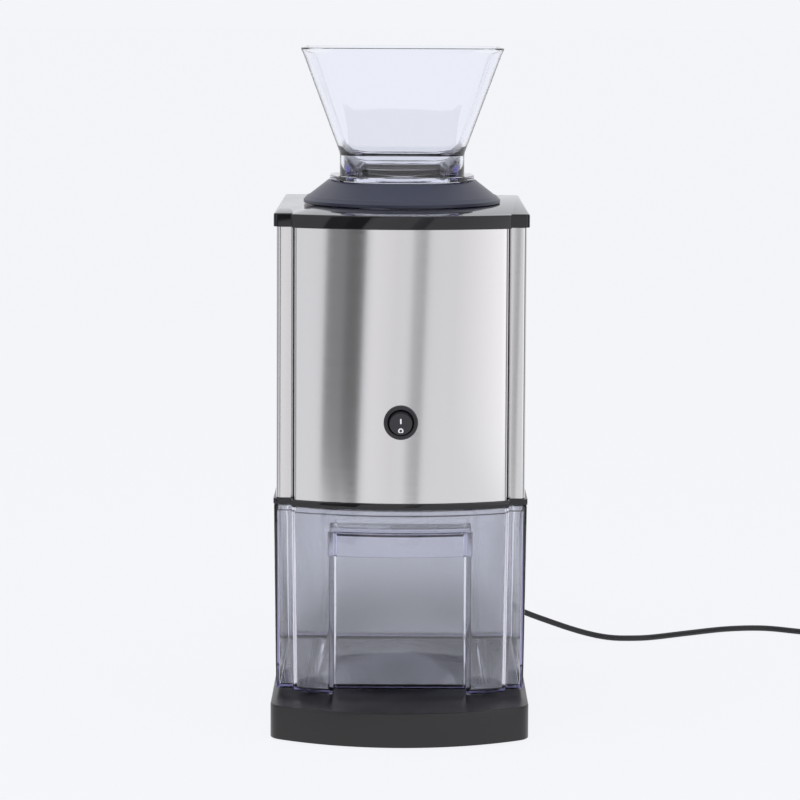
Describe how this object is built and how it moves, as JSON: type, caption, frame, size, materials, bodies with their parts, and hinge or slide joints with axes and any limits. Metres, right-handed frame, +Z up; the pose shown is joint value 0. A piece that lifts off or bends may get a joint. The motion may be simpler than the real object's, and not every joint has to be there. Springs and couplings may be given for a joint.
{
  "type": "electric ice crusher",
  "caption": "Countertop electric ice crusher: clear feed funnel over a geared knife rotor in a steel housing, with a clear pull-out ice bin on a bow-front base.",
  "frame": {"origin": "on the counter, under the middle of the base", "axes": "+Z up, the front with the switch faces -Y, +X is the right side seen from the front"},
  "size_m": [0.4861, 0.3689, 0.461],
  "materials": {
    "brushed_steel": "vertically brushed stainless sheet",
    "machined_steel": "machined stainless",
    "zinc_steel": "zinc plated",
    "copper_winding": "enamelled copper winding",
    "bronze": "sintered bronze",
    "black_gloss": "gloss moulded ABS",
    "black_satin": "satin moulded plastic",
    "charcoal_gloss": "semi-gloss moulded ABS",
    "clear_san": "clear SAN with a blue edge tint",
    "white_nylon": "natural nylon",
    "grey_plastic": "moulded",
    "food_plastic": "moulded food-safe plastic",
    "rubber": "matt",
    "cord_pvc": "smooth PVC",
    "silicone": "silicone sheet"
  },
  "bodies": {
    "machine": {"rear_column": "brushed_steel", "rear_panel": "brushed_steel", "side_panel_left": "brushed_steel", "side_panel_right": "brushed_steel", "front_panel": "brushed_steel", "fixed_comb": "machined_steel", "intermediate_axle": "machined_steel", "rear_screw_low_left": "zinc_steel", "rear_screw_low_right": "zinc_steel", "rear_screw_high_left": "zinc_steel", "rear_screw_high_right": "zinc_steel", "gear_plate": "zinc_steel", "gear_bridge": "zinc_steel", "motor_can": "zinc_steel", "motor_screw_1": "zinc_steel", "motor_screw_2": "zinc_steel", "bush_left": "bronze", "bush_right": "bronze", "chassis_plate": "black_gloss", "top_cover": "black_gloss", "feed_collar": "black_satin", "switch_housing": "black_satin", "interlock_switch": "black_satin", "base_shell": "charcoal_gloss", "terminal_block": "white_nylon", "internal_lead": "white_nylon", "base_plate": "grey_plastic", "motor_end_cap": "grey_plastic", "crusher_chamber": "food_plastic", "ice_chute": "food_plastic", "foot_front_left": "rubber", "foot_front_right": "rubber", "foot_rear_left": "rubber", "foot_rear_right": "rubber", "cord_gland": "cord_pvc", "power_cord": "cord_pvc", "cord_coil": "cord_pvc", "power_plug": "cord_pvc", "chamber_gasket": "silicone"},
    "rotor": {"knife_rotor": "machined_steel", "rotor_shaft": "machined_steel", "rotor_gear": "white_nylon"},
    "intermediate": {"intermediate_gear": "white_nylon"},
    "motor_rotor": {"motor_shaft": "machined_steel", "armature": "copper_winding", "motor_pinion": "machined_steel", "cooling_fan": "black_satin"},
    "rocker": {"switch_rocker": "black_gloss"},
    "hopper": {"ice_hopper": "clear_san"},
    "bin": {"ice_bin": "clear_san", "bin_handle": "clear_san"},
    "plunger": {"interlock_plunger": "white_nylon"}
  },
  "joints": [
    {"name": "hopper_lift", "type": "slide", "parent": "machine", "child": "hopper", "axis": [0, 0, 1], "range_m": [0, 0.08]},
    {"name": "bin_slide", "type": "slide", "parent": "machine", "child": "bin", "axis": [0, -1, 0], "range_m": [0, 0.16]},
    {"name": "switch_rock", "type": "hinge", "parent": "machine", "child": "rocker", "pos_m": [0, -0.0906, 0.213], "axis": [-1, 0, 0], "range_deg": [0, 20]},
    {"name": "rotor_spin", "type": "hinge", "parent": "machine", "child": "rotor", "pos_m": [0, 0.04, 0.29], "axis": [1, 0, 0], "continuous": true},
    {"name": "intermediate_spin", "type": "hinge", "parent": "machine", "child": "intermediate", "pos_m": [0, 0.0148, 0.24224], "axis": [1, 0, 0], "continuous": true},
    {"name": "motor_spin", "type": "hinge", "parent": "machine", "child": "motor_rotor", "pos_m": [0, -0.022, 0.222], "axis": [1, 0, 0], "continuous": true},
    {"name": "plunger_rise", "type": "slide", "parent": "machine", "child": "plunger", "axis": [0, 0, 1], "range_m": [0, 0.003]}
  ],
  "couplings": [
    {"joint": "intermediate_spin", "follows": "rotor_spin", "ratio": -4.4},
    {"joint": "motor_spin", "follows": "rotor_spin", "ratio": 20.24},
    {"joint": "plunger_rise", "follows": "hopper_lift", "ratio": 0.0375}
  ]
}
